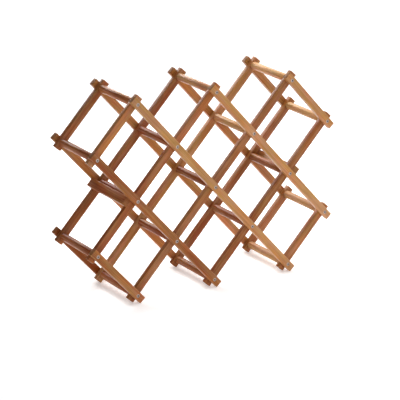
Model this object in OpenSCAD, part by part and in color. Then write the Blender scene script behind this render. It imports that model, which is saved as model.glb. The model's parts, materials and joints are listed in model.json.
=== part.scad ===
// Folding lattice wine rack: two crossed lattices of slats, front and back,
// pivoted on screws at the ends of round dowels that run from front to back.
//
// Frame: X to the right, Y to the back, Z up. The origin is on the floor under
// the middle of the rack. Falling slats run down to the right, rising slats run
// up to the right. A crossing is named by its falling slat f and its rising
// slat r, each counted from 0 on the left.

/* [Lattice] */
// Distance between two crossings along a slat
pitch = 120; // [105:1:135]
// Angle of every slat above the horizontal when the rack stands open
lattice_angle = 47.5; // [42:0.5:52]

/* [Slats] */
// Width of a slat, across its length
slat_w = 14; // [12:0.5:18]
// Thickness of a slat, front to back
slat_t = 10; // [8:0.5:12]
// Length of a slat beyond the centre of its last crossing
slat_over = 14.5; // [12:0.5:20]

/* [Dowels] */
// Diameter of a dowel
dowel_d = 14.5; // [13:0.5:16]
// Length of a dowel between the two lattices
dowel_len = 106; // [90:1:130]
// Chamfer around a dowel's ends
dowel_chamfer = 0.6; // [0.3:0.1:1.5]

/* [Screws] */
// Diameter of a screw's shank and thread
screw_d = 4; // [3.5:0.1:4.5]
// Diameter of a screw's countersunk head
screw_head_d = 7.2; // [6.5:0.1:8]
// Length of a screw from the top of its head to its point
screw_len = 35; // [30:1:40]
// Depth of a head below the face of its slat
screw_sunk = 0.3; // [0.1:0.1:0.8]

/* [Stop bars] */
// Thickness of a stop bar, away from the rising slat that leans on it
stop_t = 12; // [8:0.5:15]
// Width of a stop bar, away from the falling slat that carries it
stop_w = 16.5; // [12:0.5:20]
// Overlap of a stop bar's near edge with the falling slat that carries it
stop_lap = 2.8; // [1.5:0.1:3.2]

/* [Clearances] */
// Free gap between neighbouring layers of slats and dowels
layer_gap = 0.3; // [0.2:0.05:0.5]
// Free gap between a stop bar and the rising slat that leans on it
stop_gap = 0.3; // [0.2:0.05:0.6]
// Radial clearance of a screw in a slat
pivot_play = 0.05; // [0.02:0.01:0.1]

/* [Hidden] */
// Number of slats of each kind in one lattice
slats = 5;
// First and last crossing on slat 0 to 4, the same for both kinds of slat
SPAN = [[1, 2], [0, 3], [0, 4], [1, 4], [2, 3]];
// Names of the five rows of crossings, from the top down
ROWS = ["top", "upper", "middle", "lower", "bottom"];
// The crossing at the middle of the bottom row
BASE = [1, 3];
// The two crossings beside which a stop bar sits, left and right
STOPS = [[1, 1], [3, 3]];

middle = (slats - 1) / 2;
depth = 4 * slat_t + 4 * layer_gap + dowel_len;
step_x = pitch * cos(lattice_angle);
step_z = pitch * sin(lattice_angle);
foot_drop = slat_over * sin(lattice_angle) + slat_w / 2 * cos(lattice_angle);
mid_z = 2 * step_z + foot_drop;
side_angle = 2 * lattice_angle;
stop_len = depth - 2 * slat_t;
head_h = (screw_head_d - screw_d) / 2;
// Length of a screw inside its dowel, below the head, the slats and the gaps
screw_reach = screw_len + screw_sunk - 2 * slat_t - 2 * layer_gap;
// Cross recess of a screw head, and the length of the screw's point
cross_w = 0.9;
cross_l = 4.2;
cross_depth = 1.4;
point_len = 4;
// Radial play of a screw in its pilot hole, and the overshoot of every cut
pilot_play = 0.02;
slack = 1;
wood_fall = "peru";
wood_rise = "sienna";
wood_dowel = "burlywood";

function first(k) = SPAN[k][0];
function last(k) = SPAN[k][1];
function has(f, r) = r >= first(f) && r <= last(f);
function cross_x(f, r) = step_x * (f + r - 2 * middle);
function cross_z(f, r) = mid_z + step_z * (f - r);
function row_start(row) = [for (f = [0 : slats - 1]) if (has(f, f - 2 + row)) f][0];
function place_in_row(f, r) = f - row_start(2 - (f - r)) + 1;
function dowel_name(f, r) = str("dowel_", ROWS[2 - (f - r)], "_", place_in_row(f, r));
function is_base(f, r) = f == BASE[0] && r == BASE[1];

SIDES = ["front", "back"];

// Sets its children at the front as drawn, or turned about Z to the back
module on_side(side) {
    rotate([0, 0, side == "front" ? 0 : 180]) children();
}

// Moves its children's origin to a crossing, seen from the chosen side
module at_crossing(side, f, r) {
    mirror_x = side == "front" ? 1 : -1;
    translate([mirror_x * cross_x(f, r), 0, cross_z(f, r)]) children();
}

// Plain bar with its front face in the plane Y = 0 and its length along X
module bar(length, width, thickness) {
    translate([-length / 2, 0, -width / 2]) cube([length, thickness, width]);
}

// Bore along Y through a slat whose front face is in the plane Y = 0
module pivot_hole() {
    rotate([-90, 0, 0])
        translate([0, 0, -slack])
            cylinder(h = slat_t + 2 * slack, r = screw_d / 2 + pivot_play, $fn = 48);
}

// Seat of a sunk screw head in the plane Y = 0
module countersink() {
    seat_r = screw_head_d / 2 + pivot_play;
    rotate([-90, 0, 0]) {
        translate([0, 0, -slack])
            cylinder(h = slack + screw_sunk, r = seat_r, $fn = 48);
        translate([0, 0, screw_sunk])
            cylinder(h = head_h, r1 = seat_r, r2 = screw_d / 2 + pivot_play, $fn = 48);
    }
}

// Slat k with a hole at each crossing; sunk slats also hold the screw heads
module slat(k, lean, sunk) {
    count = last(k) - first(k);
    rotate([0, lean, 0])
        difference() {
            bar(count * pitch + 2 * slat_over, slat_w, slat_t);
            for (i = [0 : count])
                translate([(i - count / 2) * pitch, 0, 0]) {
                    pivot_hole();
                    if (sunk) countersink();
                }
        }
}

// Outer slat, which runs down to the right when seen from the front
module falling_slat(side, f) {
    lean = side == "front" ? lattice_angle : -lattice_angle;
    mid_r = (first(f) + last(f)) / 2;
    color(wood_fall)
        on_side(side)
            at_crossing(side, f, mid_r)
                translate([0, -depth / 2, 0]) slat(f, lean, true);
}

// Inner slat, which runs up to the right when seen from the front
module rising_slat(side, r) {
    lean = side == "front" ? -lattice_angle : lattice_angle;
    mid_f = (first(r) + last(r)) / 2;
    color(wood_rise)
        on_side(side)
            at_crossing(side, mid_f, r)
                translate([0, -depth / 2 + slat_t + layer_gap, 0]) slat(r, lean, false);
}

// Round dowel with chamfered ends and a pilot hole for a screw in each
module dowel(f, r) {
    radius = dowel_d / 2;
    pilot_r = screw_d / 2 + pilot_play;
    pilot_depth = screw_reach + slack;
    color(wood_dowel)
        translate([cross_x(f, r), -dowel_len / 2, cross_z(f, r)])
            rotate([-90, 0, 0])
                difference() {
                    rotate_extrude($fn = 64)
                        polygon([
                            [0, 0],
                            [radius - dowel_chamfer, 0],
                            [radius, dowel_chamfer],
                            [radius, dowel_len - dowel_chamfer],
                            [radius - dowel_chamfer, dowel_len],
                            [0, dowel_len]
                        ]);
                    for (z = [-slack, dowel_len - pilot_depth])
                        translate([0, 0, z])
                            cylinder(h = pilot_depth + slack, r = pilot_r, $fn = 48);
                }
}

// Countersunk wood screw along +Y, with the top of its head in the plane Y = 0
module screw() {
    shank_r = screw_d / 2;
    rotate([-90, 0, 0])
        difference() {
            rotate_extrude($fn = 48)
                polygon([
                    [0, 0],
                    [screw_head_d / 2, 0],
                    [shank_r, head_h],
                    [shank_r, screw_len - point_len],
                    [0, screw_len]
                ]);
            for (turn = [0, 90])
                rotate([0, 0, turn])
                    translate([-cross_l / 2, -cross_w / 2, -slack])
                        cube([cross_l, cross_w, cross_depth + slack]);
        }
}

module screw_at(side, f, r) {
    color("silver")
        on_side(side)
            at_crossing(side, f, r)
                translate([0, -depth / 2 + screw_sunk, 0]) screw();
}

// All the screws of one falling slat, apart from the base dowel's own screw
module screws(side, f) {
    for (r = [first(f) : last(f)])
        if (!is_base(f, r)) screw_at(side, f, r);
}

// Bar between the falling slats, in the outer corner of a crossing. It lies
// along the side of the rising slat, so the lattice can't spread any further.
module stop_bar(hand) {
    crossing = hand == "left" ? STOPS[0] : STOPS[1];
    turn = hand == "left" ? 180 : 0;
    near = slat_w / 2 + stop_gap;
    slat_edge = (slat_w / 2 + near * cos(side_angle)) / sin(side_angle);
    color(wood_fall)
        translate([cross_x(crossing[0], crossing[1]), 0, cross_z(crossing[0], crossing[1])])
            rotate([0, turn - lattice_angle, 0])
                translate([slat_edge - stop_lap, -stop_len / 2, -near - stop_t])
                    cube([stop_w, stop_len, stop_t]);
}

for (side = SIDES, k = [0 : slats - 1]) {
    falling_slat(side, k);
    rising_slat(side, k);
    screws(side, k);
}
for (f = [0 : slats - 1], r = [first(f) : last(f)])
    dowel(f, r);
stop_bar("left");  // left_stop_bar
stop_bar("right");  // right_stop_bar
for (side = SIDES)
    screw_at(side, BASE[0], BASE[1]);
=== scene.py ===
"""The looks of a folding lattice wine rack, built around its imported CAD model. Lengths are in metres."""

import json
import math
import random

import bmesh
import bpy
import numpy as np
from mathutils import Matrix, Vector


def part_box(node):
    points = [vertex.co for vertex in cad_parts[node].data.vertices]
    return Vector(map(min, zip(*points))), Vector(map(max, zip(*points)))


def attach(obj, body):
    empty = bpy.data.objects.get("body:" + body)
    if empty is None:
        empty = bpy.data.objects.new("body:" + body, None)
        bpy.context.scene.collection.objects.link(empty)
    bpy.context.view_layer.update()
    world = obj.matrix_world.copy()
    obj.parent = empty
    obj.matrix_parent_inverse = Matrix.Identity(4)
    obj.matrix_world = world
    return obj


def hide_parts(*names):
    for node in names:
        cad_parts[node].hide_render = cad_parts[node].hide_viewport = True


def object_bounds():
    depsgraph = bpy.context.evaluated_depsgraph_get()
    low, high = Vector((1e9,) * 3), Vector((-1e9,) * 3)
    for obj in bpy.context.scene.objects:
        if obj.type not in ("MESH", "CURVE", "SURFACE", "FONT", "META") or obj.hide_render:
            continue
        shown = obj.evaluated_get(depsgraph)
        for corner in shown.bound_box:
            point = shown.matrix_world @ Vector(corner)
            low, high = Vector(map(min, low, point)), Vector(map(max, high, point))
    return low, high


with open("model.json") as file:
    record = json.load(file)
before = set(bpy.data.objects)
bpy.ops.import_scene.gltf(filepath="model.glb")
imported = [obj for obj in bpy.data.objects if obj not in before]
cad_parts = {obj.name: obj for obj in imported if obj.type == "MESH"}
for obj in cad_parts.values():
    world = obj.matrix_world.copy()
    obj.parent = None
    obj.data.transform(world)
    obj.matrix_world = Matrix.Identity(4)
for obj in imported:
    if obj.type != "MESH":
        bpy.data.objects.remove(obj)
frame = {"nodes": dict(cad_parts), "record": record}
CAD_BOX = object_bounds()
BODIES = frame["record"]["behaviour"]["bodies"]
SLOT_OF = {part["node"]: part["material_slot"] for part in frame["record"]["subparts"]}
BODY_OF = {node: body for body, nodes in BODIES.items() for node in nodes}
DOWELS = sorted(node for node in SLOT_OF if node.startswith("dowel_"))
SCREWS = sorted(node for node in SLOT_OF if "screw" in node)

# ---------------------------------------------------------------- sizes of the wood

SLATS = 5                   # slats of each kind in one lattice
SLAT_ROUND = 0.0009         # radius of a slat's eased arrises
BAR_ROUND = 0.0008          # radius of a stop bar's eased arrises
DOWEL_ROUND = 0.0006        # radius of the eased rims of a dowel's ends
ROUND_STEPS = 3
PIVOT_R = 0.00205           # radius of the bores through the slats
PILOT_R = 0.00202           # radius of the bores in the dowels
PILOT_DEPTH = 0.0157        # depth of the bores in the dowels
SEAT_R = 0.00365            # radius of a countersink's mouth
SEAT_DROP = 0.0003          # how far a screw head is sunk
SEAT_CONE = 0.0016          # depth of a countersink's cone
OVERSHOOT = 0.001           # how far a cutter runs past the surface that it cuts
BORE_SIDES = 32
DOWEL_SIDES = 48

# Faces smaller than these areas are shaded smooth, except across an edge sharper than the angle
SLAT_SMOOTH_AREA = 0.00002
ANY_AREA = 1.0
SHARP_ANGLE = math.radians(50)

# ---------------------------------------------------------------- sizes of the screws

SCREW_SIDES = 24
SCREW_CORE_R = 0.00145
SCREW_THREAD_R = 0.00198
SCREW_SHANK_R = 0.0020
SCREW_DOME = 0.0004         # how far the head's rim lies below its middle
DOME_RINGS = (0.45, 0.70, 0.84, 0.93)   # rings of the dome, as shares of the head's radius
DOME_FALL = 0.8             # share of the dome's height in its curve, before the step at the rim
DOME_POWER = 4
THREAD_START = 0.0195       # distance of the thread from the top of the head
THREAD_LEAD = 0.0018        # rise of the thread in one turn
THREAD_STEPS = 10           # rings of points in one turn of the thread
THREAD_STEEPNESS = 4.5      # a steeper thread has a narrower ridge
SCREW_TIP = 0.0042          # length of the tapered tip
RECESS_HALF = 0.0021        # half the length of the cross recess
RECESS_WIDTH = 0.00115
RECESS_DEPTH = 0.0015
RECESS_FLOOR = 0.45         # size of the recess's floor as a share of its mouth

RANDOM_SEED = 41
TREE_SHIFT = 5              # how far a piece's place in the wood's noises is moved, at most

# ---------------------------------------------------------------- colours and grain

PALE_WOOD = (0.61, 0.32, 0.160)
PALE_DOWEL = (0.67, 0.380, 0.230)
DEEP_WOOD = (0.225, 0.060, 0.012)
PORE_COLOUR = (0.12, 0.045, 0.018)
# Lighter wood painted along the arrises as a highlight
ARRIS_HIGHLIGHT_COLOUR = (0.70, 0.38, 0.17)
END_WOOD = (0.32, 0.130, 0.038)
END_VESSELS = (0.15, 0.055, 0.014)
# These two multiply the colour of the wood
REDDISH = (1.12, 0.80, 0.62)
GOLDEN = (0.98, 1.03, 0.66)

SLAT_ROUGHNESS = 0.28
DOWEL_ROUGHNESS = 0.26
BAR_ROUGHNESS = 0.30
WOOD_GLOSS = 0.18
DOWEL_GLOSS = 0.10

# Fineness of each noise along, front to back and across a bar, in cells to a metre. A minus sign
# mirrors a noise, which keeps its pattern from following the others.
WANDER = (9.0, 60.0, 60.0)
FIBRES = (24.0, 900.0, 900.0)
STRANDS = (7.0, 260.0, 260.0)
PATCHES = (14.0, 40.0, 40.0)
FLUSHES = (22.0, 70.0, -70.0)
GILDING = (16.0, -90.0, 90.0)
PORES = (260.0, 2600.0, 2600.0)
VESSELS = (200.0, 3400.0, 3400.0)

RINGS_PER_METRE = 420.0
HEART_DISTANCE = 0.045      # from the middle of a bar to the heart of its tree
HEART_SHIFT_Y = 0.006       # how far the heart moves for each unit of a piece's shift
HEART_SHIFT_Z = 0.004
RING_WANDER = 0.0055        # how far a growth ring strays from its circle

# How much each pattern darkens the wood, and an offset that keeps its mean near the tone
LATE_WOOD_DEPTH = 0.18
FIBRE_DEPTH = 0.21
STRAND_DEPTH = 0.20
PATCH_DEPTH = 0.18
GRAIN_OFFSET = -0.32
FLUSH_DEPTH = 0.45
PORE_DEPTH = 0.40

# Depths below the surface over which the painted highlight on the arrises and the look of a cut end fade in
ARRIS_BAND = (0.0016, 0.0002)
END_BAND = (0.0011, 0.0003)
ARRIS_DEPTH = 0.25
END_DEPTH = 0.60
FIBRE_ROUGHNESS = 0.16
END_ROUGHNESS = 0.15
WOOD_BUMP = 0.00006

# Steel: clear and clouded plating, scratches, and painted shade in the recess and round the head's rim
CLOUDED_ZINC = (0.36, 0.28, 0.24)
CLEAR_ZINC = (0.54, 0.44, 0.39)
SCRATCH_COLOUR = (0.20, 0.17, 0.15)
PAINTED_SHADE_COLOUR = (0.035, 0.028, 0.024)
TURNING = (9000.0, 4000.0, 1.0)
SCRATCHES = (5200.0, 900.0, 1400.0)
CLOUDS = (900.0, 900.0, 900.0)
RIM_SHADE_BAND = (0.0030, 0.0035)       # distances from the screw's axis
RECESS_BAND = (0.0024, 0.0021)
RECESS_SHADE_BAND = (0.0001, 0.0004)    # depths below the top of the head
PAINTED_SHADE_DEPTH = 0.92
SCRATCH_DEPTH = 0.35
STEEL_ROUGHNESS = 0.24
SCRATCH_ROUGHNESS = 0.30
STEEL_BUMP = 0.00002

# How dark and how reddish each slat is, from the left one to the right one, seen from the front.
# A tone of 0 is pale and 1 is deep, and one well below 0 has no dark grain left in it.
LOOKS = {
    "front_falling": [(0.60, 0.45), (0.76, 0.55), (0.34, 0.10), (0.33, 0.15), (0.38, 0.08)],
    "front_rising": [(0.50, 0.45), (0.72, 0.60), (0.72, 0.30), (0.84, 0.22), (0.65, 0.30)],
    "back_falling": [(1.00, 0.40), (0.48, 0.35), (0.48, 0.40), (0.57, 0.45), (0.66, 0.05)],
    "back_rising": [(0.78, 0.45), (0.76, 0.40), (0.49, 0.15), (0.79, 0.20), (0.70, 0.12)],
}
LEFT_BAR_LOOK = (0.74, 0.85)
RIGHT_BAR_LOOK = (0.48, 0.30)
# The same for the dowels of each row, from the left one to the right one
DOWEL_LOOKS = {
    # The right top dowel's tone below 0 makes it pale all over, a painted highlight across it
    "top": [(0.72, 0.80), (0.42, 0.40), (-0.40, 0.10)],
    "upper": [(0.77, 0.90), (0.88, 0.80), (0.18, 0.12), (0.12, 0.08)],
    "middle": [(1.00, 0.75), (0.92, 0.40), (0.84, 0.15)],
    "lower": [(0.81, 0.95), (0.84, 0.80), (0.92, 0.30), (0.36, 0.00)],
    "bottom": [(0.80, 0.80), (0.84, 0.35), (0.33, 0.08)],
}


# ---------------------------------------------------------------- places in the frame

def middle(node):
    low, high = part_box(node)
    return (low + high) / 2


def direction(start_node, end_node):
    return (middle(end_node) - middle(start_node)).normalized()


FALLING = direction("dowel_top_1", "dowel_bottom_3")
RISING = direction("dowel_bottom_1", "dowel_top_3")


def lie(node, along):
    """Matrix from a bar's own axes to the frame, and its half sizes along, front to back and across."""
    across = along.cross(Vector((0, 1, 0)))
    axes = Matrix((along, (0, 1, 0), across))
    points = np.array([v.co for v in frame["nodes"][node].data.vertices]) @ np.array(axes).T
    low, high = Vector(points.min(0)), Vector(points.max(0))
    to_frame = axes.transposed()
    place = Matrix.Translation(to_frame @ ((low + high) / 2)) @ to_frame.to_4x4()
    return place, (high - low) / 2


# ---------------------------------------------------------------- mesh tools

def new_object(name, mesh):
    thing = bpy.data.objects.new(name, mesh)
    bpy.context.scene.collection.objects.link(thing)
    return thing


def mesh_from(bm, name):
    bmesh.ops.recalc_face_normals(bm, faces=bm.faces)
    mesh = bpy.data.meshes.new(name)
    bm.to_mesh(mesh)
    bm.free()
    return mesh


def eased_box(half, radius):
    """Box about the origin with rounded arrises."""
    bm = bmesh.new()
    bmesh.ops.create_cube(bm, size=2, matrix=Matrix.Diagonal((*half, 1)))
    edges = bm.edges[:]
    bmesh.ops.bevel(bm, geom=edges, offset=radius, segments=ROUND_STEPS, profile=0.5, affect="EDGES")
    return bm


def turned(bm, profile, sides, centre=(0, 0, 0), flip=1):
    """Adds a solid turned about Y. The profile is (radius, y) from one end on the axis to the other,
    and a flip of -1 mirrors it in y."""
    rings = []
    for radius, y in profile:
        count = 1 if radius == 0 else sides
        ring = []
        for i in range(count):
            turn = 2 * math.pi * i / sides
            spot = Vector((radius * math.cos(turn), y * flip, radius * math.sin(turn)))
            ring.append(bm.verts.new(Vector(centre) + spot))
        rings.append(ring)
    for near, far in zip(rings, rings[1:]):
        for i in range(sides):
            j = (i + 1) % sides
            corners = [near[i % len(near)], near[j % len(near)], far[j % len(far)], far[i % len(far)]]
            unique = list(dict.fromkeys(corners))
            if len(unique) > 2:
                bm.faces.new(unique)


def cut(mesh, cutter_bm):
    """The mesh with the cutter's solids taken out of it."""
    body = new_object("cut_body", mesh)
    tool = new_object("cut_tool", mesh_from(cutter_bm, "cut_tool"))
    modifier = body.modifiers.new("cut", "BOOLEAN")
    modifier.operation = "DIFFERENCE"
    modifier.solver = "EXACT"
    modifier.object = tool
    evaluated = body.evaluated_get(bpy.context.evaluated_depsgraph_get())
    result = bpy.data.meshes.new_from_object(evaluated)
    for thing in (body, tool):
        bpy.data.objects.remove(thing)
    return result


def shade(mesh, smooth_area):
    """Shades the faces below an area smooth, so that large faces stay flat."""
    for face in mesh.polygons:
        face.use_smooth = face.area < smooth_area
    mesh.set_sharp_from_angle(angle=SHARP_ANGLE)


def add_attribute(mesh, name, kind, values):
    field = {"FLOAT": "value", "FLOAT_VECTOR": "vector"}[kind]
    attribute = mesh.attributes.new(name, kind, "POINT")
    attribute.data.foreach_set(field, np.asarray(values, np.float32).ravel())


def mark_wood(mesh, half, tone, warmth, picker):
    """Stores what the wood shader reads: each point's place in the bar, its half sizes, tree and look."""
    spot = np.array([v.co for v in mesh.vertices])
    shift = np.array([picker.uniform(-TREE_SHIFT, TREE_SHIFT) for _ in range(3)])
    add_attribute(mesh, "spot", "FLOAT_VECTOR", spot)
    add_attribute(mesh, "half", "FLOAT_VECTOR", np.tile(half, (len(spot), 1)))
    add_attribute(mesh, "tree", "FLOAT_VECTOR", np.tile(shift, (len(spot), 1)))
    add_attribute(mesh, "tone", "FLOAT", np.full(len(spot), tone))
    add_attribute(mesh, "warmth", "FLOAT", np.full(len(spot), warmth))


def finish_piece(name, mesh, place, material, node):
    """Puts a mesh made in a piece's own axes in the frame, in place of its CAD node."""
    mesh.transform(place)
    mesh.name = name
    mesh.materials.clear()
    mesh.materials.append(material)
    piece = new_object(name, mesh)
    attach(piece, BODY_OF[node])
    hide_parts(node)


# ---------------------------------------------------------------- shader tools

class Nodes:
    """Short ways to build a material's node tree."""

    def __init__(self, name):
        self.material = bpy.data.materials.new(name)
        self.material.use_nodes = True
        self.tree = self.material.node_tree
        self.shader = self.tree.nodes["Principled BSDF"]

    def add(self, kind, inputs=None, **settings):
        node = self.tree.nodes.new(kind)
        for key, value in settings.items():
            setattr(node, key, value)
        for key, value in (inputs or {}).items():
            self.feed(node.inputs[key], value)
        return node

    def feed(self, socket, value):
        if isinstance(value, bpy.types.NodeSocket):
            self.tree.links.new(value, socket)
        else:
            socket.default_value = value

    def attribute(self, name, output="Fac"):
        return self.add("ShaderNodeAttribute", attribute_name=name).outputs[output]

    def math(self, operation, a, b=0.0, clamp=False):
        node = self.add("ShaderNodeMath", {0: a, 1: b}, operation=operation, use_clamp=clamp)
        return node.outputs[0]

    def vector(self, operation, a, b):
        return self.add("ShaderNodeVectorMath", {0: a, 1: b}, operation=operation).outputs[0]

    def length(self, a, b):
        """Length of the sides a and b put at right angles."""
        return self.math("SQRT", self.math("ADD", self.math("MULTIPLY", a, a), self.math("MULTIPLY", b, b)))

    def magnitude(self, vector):
        return self.add("ShaderNodeVectorMath", {0: vector}, operation="ABSOLUTE").outputs[0]

    def split(self, vector):
        return self.add("ShaderNodeSeparateXYZ", {0: vector}).outputs

    def noise(self, place, fineness, detail=2.0, roughness=0.5):
        inputs = {
            "Vector": self.vector("MULTIPLY", place, fineness),
            "Scale": 1.0,
            "Detail": detail,
            "Roughness": roughness,
        }
        return self.add("ShaderNodeTexNoise", inputs).outputs["Fac"]

    def ramp(self, value, low, high, out_low=0.0, out_high=1.0):
        """Smooth step from out_low, where the value is low, to out_high, where it is high."""
        inputs = {
            "Value": value,
            "From Min": low,
            "From Max": high,
            "To Min": out_low,
            "To Max": out_high,
        }
        return self.add("ShaderNodeMapRange", inputs, interpolation_type="SMOOTHSTEP").outputs["Result"]

    def mix(self, share, a, b, blend="MIX"):
        node = self.add("ShaderNodeMix", data_type="RGBA", blend_type=blend)
        self.feed(node.inputs["Factor"], share)
        self.feed(node.inputs["A"], a)
        self.feed(node.inputs["B"], b)
        return node.outputs["Result"]

    def bump(self, height, distance, strength):
        inputs = {"Height": height, "Distance": distance, "Strength": strength}
        return self.add("ShaderNodeBump", inputs).outputs["Normal"]

    def values(self, **inputs):
        for key, value in inputs.items():
            self.feed(self.shader.inputs[key.replace("_", " ")], value)
        return self.material


def colour(red, green, blue):
    return (red, green, blue, 1.0)


WHITE = colour(1.0, 1.0, 1.0)


def late_wood(n, spot, tree, inside):
    """The dark part of each growth ring, round a heart that lies beside the bar, with a slow wander."""
    wander = n.noise(inside, WANDER)
    place, shift = n.split(spot), n.split(tree)
    heart_y = n.math("ADD", place["Y"], n.math("MULTIPLY", shift["Y"], HEART_SHIFT_Y))
    offset_z = n.math("ADD", n.math("MULTIPLY", shift["Z"], HEART_SHIFT_Z), HEART_DISTANCE)
    heart_z = n.math("ADD", place["Z"], offset_z)
    radius = n.math("ADD", n.length(heart_y, heart_z), n.math("MULTIPLY", wander, RING_WANDER))
    ring = n.math("FRACT", n.math("MULTIPLY", radius, RINGS_PER_METRE))
    return n.math("MULTIPLY", n.ramp(ring, 0.35, 0.88), n.ramp(ring, 1.0, 0.93))


def wood_material(name, pale, roughness, gloss):
    """Lacquered wood: grain along the bar, the rings of one tree through it, and darker cut ends."""
    n = Nodes(name)
    spot, half, tree = (n.attribute(field, "Vector") for field in ("spot", "half", "tree"))
    inside = n.vector("ADD", spot, tree)
    rings = late_wood(n, spot, tree, inside)
    fibres = n.noise(inside, FIBRES, detail=4.0, roughness=0.62)
    strands = n.noise(inside, STRANDS)
    patches = n.noise(inside, PATCHES)
    flushes = n.noise(inside, FLUSHES)
    gilding = n.noise(inside, GILDING)
    pores = n.ramp(n.noise(inside, PORES, detail=1.0), 0.66, 0.78)

    # Each bar's own tone sets how dark it is, and the grain varies it
    patterns = (
        (rings, LATE_WOOD_DEPTH),
        (n.ramp(fibres, 0.30, 0.72), FIBRE_DEPTH),
        (n.ramp(strands, 0.32, 0.70), STRAND_DEPTH),
        (n.ramp(patches, 0.34, 0.66), PATCH_DEPTH),
    )
    dark = n.math("ADD", n.attribute("tone"), GRAIN_OFFSET)
    for pattern, depth in patterns:
        dark = n.math("ADD", dark, n.math("MULTIPLY", pattern, depth))
    wood = n.mix(dark, colour(*pale), colour(*DEEP_WOOD))
    flush = n.ramp(flushes, 0.34, 0.66, -FLUSH_DEPTH, FLUSH_DEPTH)
    warmth = n.math("ADD", n.attribute("warmth"), flush, clamp=True)
    wood = n.mix(warmth, wood, colour(*REDDISH), "MULTIPLY")
    wood = n.mix(n.ramp(gilding, 0.36, 0.62), wood, colour(*GOLDEN), "MULTIPLY")
    wood = n.mix(n.math("MULTIPLY", pores, PORE_DEPTH), wood, colour(*PORE_COLOUR))

    # An arris is near where the middle one of a point's three depths under the box's sides is small
    depth = n.split(n.vector("SUBTRACT", half, n.magnitude(spot)))
    low_xy = n.math("MINIMUM", depth["X"], depth["Y"])
    high_xy = n.math("MAXIMUM", depth["X"], depth["Y"])
    arris = n.math("MAXIMUM", low_xy, n.math("MINIMUM", high_xy, depth["Z"]))
    # Painted highlight: the arrises are lightened, in streaks, where light catches the eased edges
    arris_highlight = n.math("MULTIPLY", n.ramp(arris, *ARRIS_BAND), n.ramp(strands, 0.3, 0.6, 0.25, 0.9))
    wood = n.mix(n.math("MULTIPLY", arris_highlight, ARRIS_DEPTH), wood, colour(*ARRIS_HIGHLIGHT_COLOUR))

    # Cut ends soak up the finish: darker, duller, with small dark vessels
    end = n.ramp(depth["X"], *END_BAND)
    vessels = n.noise(inside, VESSELS)
    end_wood = n.mix(n.ramp(vessels, 0.40, 0.62), colour(*END_WOOD), colour(*END_VESSELS))
    wood = n.mix(n.math("MULTIPLY", end, END_DEPTH), wood, end_wood)

    rough = n.math("ADD", roughness, n.math("MULTIPLY", fibres, FIBRE_ROUGHNESS))
    rough = n.math("ADD", rough, n.math("MULTIPLY", end, END_ROUGHNESS), clamp=True)
    height = n.math("SUBTRACT", n.math("MULTIPLY", fibres, 0.6), n.math("MULTIPLY", pores, 0.9))
    height = n.math("SUBTRACT", height, n.math("MULTIPLY", n.math("MULTIPLY", end, vessels), 1.5))
    normal = n.bump(height, WOOD_BUMP, 0.8)
    return n.values(Base_Color=wood, Roughness=rough, Normal=normal, Specular_IOR_Level=gloss)


def steel_material(name):
    """Dull zinc plating with turning marks and fine scratches, and painted shade that darkens the recess
    and the rim of the head.
    """
    n = Nodes(name)
    spot = n.attribute("spot", "Vector")
    place = n.split(spot)
    across = n.length(place["X"], place["Z"])
    along_cut = n.add("ShaderNodeCombineXYZ", {0: across, 1: place["Y"]}).outputs[0]
    turning = n.noise(along_cut, TURNING)
    scratches = n.noise(spot, SCRATCHES, detail=3.0, roughness=0.6)
    clouds = n.noise(spot, CLOUDS)
    # Painted shade: the cross recess and the head's rim, where it meets the countersink, are darkened
    recess = n.math("MULTIPLY", n.ramp(across, *RECESS_BAND), n.ramp(place["Y"], *RECESS_SHADE_BAND))
    painted_shade = n.math("MAXIMUM", recess, n.ramp(across, *RIM_SHADE_BAND))
    metal = n.mix(n.ramp(clouds, 0.3, 0.7), colour(*CLOUDED_ZINC), colour(*CLEAR_ZINC))
    scratched = n.math("MULTIPLY", n.ramp(scratches, 0.55, 0.8), SCRATCH_DEPTH)
    metal = n.mix(scratched, metal, colour(*SCRATCH_COLOUR))
    metal = n.mix(n.math("MULTIPLY", painted_shade, PAINTED_SHADE_DEPTH), metal, colour(*PAINTED_SHADE_COLOUR))
    rough = n.math("ADD", STEEL_ROUGHNESS, n.math("MULTIPLY", scratches, SCRATCH_ROUGHNESS), clamp=True)
    height = n.math("ADD", n.math("MULTIPLY", turning, 0.7), n.math("MULTIPLY", scratches, 0.5))
    normal = n.bump(height, STEEL_BUMP, 0.7)
    return n.values(Base_Color=metal, Roughness=rough, Normal=normal, Metallic=1.0)


SLAT_WOOD = wood_material("slat wood", PALE_WOOD, SLAT_ROUGHNESS, WOOD_GLOSS)
DOWEL_WOOD = wood_material("dowel wood", PALE_DOWEL, DOWEL_ROUGHNESS, DOWEL_GLOSS)
BAR_WOOD = wood_material("stop bar wood", PALE_WOOD, BAR_ROUGHNESS, WOOD_GLOSS)
STEEL = steel_material("zinc plated steel")


# ---------------------------------------------------------------- the wooden pieces

def holes_on(place, half):
    """Where the pivots cross a slat, along its own length."""
    to_slat = place.inverted()
    found = []
    for node in DOWELS:
        spot = to_slat @ middle(node)
        if abs(spot.z) < half.z / 2 and abs(spot.x) < half.x:
            found.append(spot.x)
    return sorted(found)


def bore_profile(thickness, countersunk):
    """Outline of a bore through a slat, as (radius, y) with the slat's outer face at y = 0."""
    profile = [(0, OVERSHOOT)]
    if countersunk:
        profile += [(SEAT_R, OVERSHOOT), (SEAT_R, -SEAT_DROP), (PIVOT_R, -SEAT_DROP - SEAT_CONE)]
    else:
        profile.append((PIVOT_R, OVERSHOOT))
    return profile + [(PIVOT_R, -thickness - OVERSHOOT), (0, -thickness - OVERSHOOT)]


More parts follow.
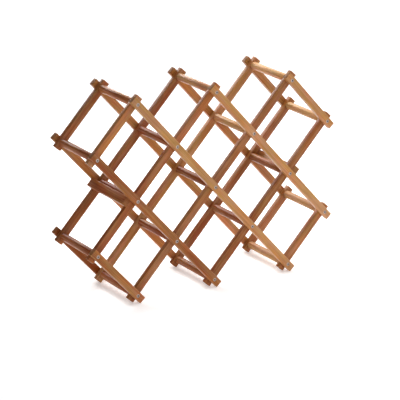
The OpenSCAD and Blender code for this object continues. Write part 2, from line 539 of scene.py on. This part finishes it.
def slat(node, along, look, picker):
    """Eased bar with a bore at each crossing. The falling slats, outside, also seat the screw heads."""
    place, half = lie(node, along)
    outward = -1 if middle(node).y < 0 else 1
    profile = bore_profile(2 * half.y, "falling" in node)
    cutter = bmesh.new()
    for x in holes_on(place, half):
        turned(cutter, profile, BORE_SIDES, (x, outward * half.y, 0), outward)
    mesh = cut(mesh_from(eased_box(half, SLAT_ROUND), node), cutter)
    shade(mesh, SLAT_SMOOTH_AREA)
    mark_wood(mesh, half, *look, picker)
    finish_piece(node + "_wood", mesh, place, SLAT_WOOD, node)


def dowel(node, look, picker):
    """Round bar with eased ends and a pilot hole in each."""
    low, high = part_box(node)
    radius = (high.x - low.x) / 2
    half_length = (high.y - low.y) / 2
    pilot_end = -half_length + PILOT_DEPTH
    end = [(0, pilot_end), (PILOT_R, pilot_end), (PILOT_R, -half_length)]
    for i in range(ROUND_STEPS + 1):
        turn = math.pi / 2 * i / ROUND_STEPS
        step_in = DOWEL_ROUND * (1 - math.sin(turn))
        step_down = DOWEL_ROUND * (1 - math.cos(turn))
        end.append((radius - step_in, -half_length + step_down))
    bm = bmesh.new()
    turned(bm, end + [(r, -y) for r, y in reversed(end)], DOWEL_SIDES)
    mesh = mesh_from(bm, node)
    shade(mesh, ANY_AREA)
    # The grain runs along the shader's X axis, so the dowel is marked lying along X
    mesh.transform(Matrix.Rotation(-math.pi / 2, 4, "Z"))
    mark_wood(mesh, (half_length, radius, radius), *look, picker)
    place = Matrix.Translation(middle(node)) @ Matrix.Rotation(math.pi / 2, 4, "Z")
    finish_piece(node + "_wood", mesh, place, DOWEL_WOOD, node)


def stop_bar(node, look, picker):
    """Eased bar without holes, from the front lattice to the back one."""
    place, half = lie(node, RISING)
    # The bar is longest from front to back, so its own X axis is turned that way
    turn = Matrix(((0, -1, 0), (1, 0, 0), (0, 0, 1))).to_4x4()
    half = Vector((half.y, half.x, half.z))
    mesh = mesh_from(eased_box(half, BAR_ROUND), node)
    shade(mesh, SLAT_SMOOTH_AREA)
    mark_wood(mesh, half, *look, picker)
    finish_piece(node + "_wood", mesh, place @ turn, BAR_WOOD, node)


# ---------------------------------------------------------------- the screws

def screw_levels(length, head_r):
    """Levels of (radius, y) from the head to the tip, each with one pair for every side."""
    plain = [(head_r * share, SCREW_DOME * DOME_FALL * share ** DOME_POWER) for share in DOME_RINGS]
    plain.append((head_r, SCREW_DOME))
    plain.append((SCREW_SHANK_R, SCREW_DOME + head_r - SCREW_SHANK_R))
    plain.append((SCREW_SHANK_R, THREAD_START - THREAD_LEAD / 2))
    levels = [[pair] * SCREW_SIDES for pair in plain]
    threaded = length - THREAD_START
    count = round(threaded / THREAD_LEAD * THREAD_STEPS)
    for i in range(count):
        y = THREAD_START + threaded * i / count
        taper = min(1.0, (length - y) / SCREW_TIP)
        grow = min(1.0, (y - THREAD_START) / THREAD_LEAD)
        level = []
        for k in range(SCREW_SIDES):
            phase = (y / THREAD_LEAD - k / SCREW_SIDES) % 1.0
            ridge = max(0.0, 1 - abs(phase - 0.5) * THREAD_STEEPNESS)
            radius = (SCREW_CORE_R + (SCREW_THREAD_R - SCREW_CORE_R) * ridge * grow) * taper
            level.append((radius, y))
        levels.append(level)
    return levels


def cross_recess():
    """Two crossed wedges that get narrower as they go down."""
    bm = bmesh.new()
    outline = []
    half_width = RECESS_WIDTH / 2
    for quarter in range(4):
        turn = Matrix.Rotation(math.pi / 2 * quarter, 3, "Y")
        for x, z in ((RECESS_HALF, -half_width), (RECESS_HALF, half_width), (half_width, half_width)):
            outline.append(turn @ Vector((x, 0, -z)))
    top = [bm.verts.new(p + Vector((0, -OVERSHOOT, 0))) for p in outline]
    lip = [bm.verts.new(p) for p in outline]
    floor_level = [bm.verts.new(p * RECESS_FLOOR + Vector((0, RECESS_DEPTH, 0))) for p in outline]
    for near, far in ((top, lip), (lip, floor_level)):
        for i in range(len(outline)):
            j = (i + 1) % len(outline)
            bm.faces.new((near[i], near[j], far[j], far[i]))
    bm.faces.new(top)
    bm.faces.new(floor_level)
    return bm


def screw_mesh(length, head_r):
    """One countersunk wood screw along +Y, with the top of its head at the origin."""
    bm = bmesh.new()
    rows = []
    for level in screw_levels(length, head_r):
        row = []
        for k, (radius, y) in enumerate(level):
            turn = 2 * math.pi * k / SCREW_SIDES
            row.append(bm.verts.new((radius * math.cos(turn), y, radius * math.sin(turn))))
        rows.append(row)
    tip = bm.verts.new((0, length, 0))
    for near, far in zip(rows, rows[1:]):
        for k in range(SCREW_SIDES):
            j = (k + 1) % SCREW_SIDES
            bm.faces.new((near[k], near[j], far[j], far[k]))
    bm.faces.new(rows[0])
    for k in range(SCREW_SIDES):
        bm.faces.new((rows[-1][k], rows[-1][(k + 1) % SCREW_SIDES], tip))
    return cut(mesh_from(bm, "screw"), cross_recess())


def screws(node, template, picker):
    """All the screws of one CAD node, each turned its own way, as one piece."""
    at_front = middle(node).y < 0
    low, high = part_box(node)
    top = low.y if at_front else high.y
    bm = bmesh.new()
    spots = []
    for dowel_node in sorted(other for other in BODIES[BODY_OF[node]] if other in DOWELS):
        centre = middle(dowel_node)
        place = Matrix.Translation((centre.x, top, centre.z))
        if not at_front:
            place = place @ Matrix.Rotation(math.pi, 4, "Z")
        place = place @ Matrix.Rotation(picker.uniform(0, math.pi / 2), 4, "Y")
        start = len(bm.verts)
        bm.from_mesh(template)
        bm.verts.ensure_lookup_table()
        for v in bm.verts[start:]:
            spots.append(tuple(v.co))
            v.co = place @ v.co
    mesh = bpy.data.meshes.new(node)
    bm.to_mesh(mesh)
    bm.free()
    shade(mesh, ANY_AREA)
    add_attribute(mesh, "spot", "FLOAT_VECTOR", spots)
    finish_piece(node + "_steel", mesh, Matrix.Identity(4), STEEL, node)


def make_rack():
    """Every piece of the rack. All the random draws come from one picker, in this order."""
    picker = random.Random(RANDOM_SEED)
    for side in ("front", "back"):
        for i in range(SLATS):
            slat(f"{side}_falling_slat_{i + 1}", FALLING, LOOKS[side + "_falling"][i], picker)
            slat(f"{side}_rising_slat_{i + 1}", RISING, LOOKS[side + "_rising"][i], picker)
    for node in DOWELS:
        row, number = node.split("_")[1:]
        dowel(node, DOWEL_LOOKS[row][int(number) - 1], picker)
    stop_bar("left_stop_bar", LEFT_BAR_LOOK, picker)
    stop_bar("right_stop_bar", RIGHT_BAR_LOOK, picker)
    low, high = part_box("front_base_screw")
    template = screw_mesh(high.y - low.y, (high.x - low.x) / 2)
    for node in SCREWS:
        screws(node, template, picker)


# ---------------------------------------------------------------- stage, light and camera

CENTRE = (CAD_BOX[0] + CAD_BOX[1]) / 2

CAMERA_AZIMUTH = math.radians(-32.255)
CAMERA_ELEVATION = math.radians(18.265)
CAMERA_ROLL = math.radians(0.525)
CAMERA_FROM_FRONT = Vector((-1.9140, -2.9794, 1.1449))   # from the middle of the rack's front
CAMERA_CLIP = (0.1, 50)
LENS_MM = 186.2
SENSOR_MM = 36.0

FLOOR_HALF = 12.0
FLOOR_PAPER = (0.92, 0.92, 0.92)
GLOW_REACH = (0.5, 2.6)     # distances from the rack between which the floor's glow rises
FLOOR_GLOW = (0.43, 0.97)
HORIZON_BAND = (0.00, 0.16) # sines of the heights between which the room's light falls
HORIZON_LIGHT = (1.0, 0.10)

# Name, place, width and height, and watts of each softbox. They all face the middle of the rack.
SOFTBOXES = [
    ("front", (0.3, -2.0, 0.4), (0.9, 0.6), 5),
    ("key", (1.1, -1.5, 1.6), (0.8, 0.8), 7.5),
    ("top right", (0.6, 0.0, 1.2), (0.8, 0.8), 10),
    ("back right", (0.9, 0.8, 1.2), (1.0, 1.0), 8),
    ("back", (0.13, 0.80, 0.66), (0.78, 0.42), 8),
    ("low back", (1.0, 1.5, 0.6), (0.8, 0.4), 1),
]


def make_floor():
    """A white sheet that is lit more and more from behind away from the rack, as on a photo table."""
    bm = bmesh.new()
    bmesh.ops.create_grid(bm, x_segments=1, y_segments=1, size=FLOOR_HALF)
    floor = new_object("floor", mesh_from(bm, "floor"))
    n = Nodes("floor paper")
    place = n.split(n.add("ShaderNodeNewGeometry").outputs["Position"])
    glow = n.ramp(n.length(place["X"], place["Y"]), *GLOW_REACH, *FLOOR_GLOW)
    n.values(Base_Color=colour(*FLOOR_PAPER), Roughness=0.8, Specular_IOR_Level=0.1)
    n.values(Emission_Color=WHITE, Emission_Strength=glow)
    floor.data.materials.append(n.material)


def make_world():
    """A dim white room with a bright horizon."""
    world = bpy.data.worlds.new("studio")
    bpy.context.scene.world = world
    world.use_nodes = True
    nodes, links = world.node_tree.nodes, world.node_tree.links
    way = nodes.new("ShaderNodeTexCoord")
    parts = nodes.new("ShaderNodeSeparateXYZ")
    fall = nodes.new("ShaderNodeMapRange")
    for socket, value in zip(("From Min", "From Max", "To Min", "To Max"), HORIZON_BAND + HORIZON_LIGHT):
        fall.inputs[socket].default_value = value
    background = nodes["Background"]
    background.inputs["Color"].default_value = WHITE
    links.new(way.outputs["Generated"], parts.inputs[0])
    links.new(parts.outputs["Z"], fall.inputs["Value"])
    links.new(fall.outputs["Result"], background.inputs["Strength"])


def make_camera():
    """A long lens at the photo's viewing angle."""
    data = bpy.data.cameras.new("camera")
    data.sensor_width = SENSOR_MM
    data.lens = LENS_MM
    data.clip_start, data.clip_end = CAMERA_CLIP
    camera = new_object("camera", data)
    front_middle = Vector((0, CAD_BOX[0].y, middle("dowel_middle_2").z))
    camera.location = front_middle + CAMERA_FROM_FRONT
    back = Vector((
        math.sin(CAMERA_AZIMUTH) * math.cos(CAMERA_ELEVATION),
        -math.cos(CAMERA_AZIMUTH) * math.cos(CAMERA_ELEVATION),
        math.sin(CAMERA_ELEVATION),
    ))
    aim = (-back).to_track_quat("-Z", "Y").to_matrix()
    camera.rotation_euler = (aim @ Matrix.Rotation(CAMERA_ROLL, 3, "Z")).to_euler()
    bpy.context.scene.camera = camera


def make_softbox(name, location, size, watts):
    data = bpy.data.lights.new(name, "AREA")
    data.shape = "RECTANGLE"
    data.size, data.size_y = size
    data.energy = watts
    light = new_object(name, data)
    light.location = location
    light.rotation_euler = (CENTRE - light.location).to_track_quat("-Z", "Y").to_euler()


make_rack()
make_floor()
make_world()
make_camera()
for softbox in SOFTBOXES:
    make_softbox(*softbox)
bpy.context.scene.view_settings.view_transform = "Standard"
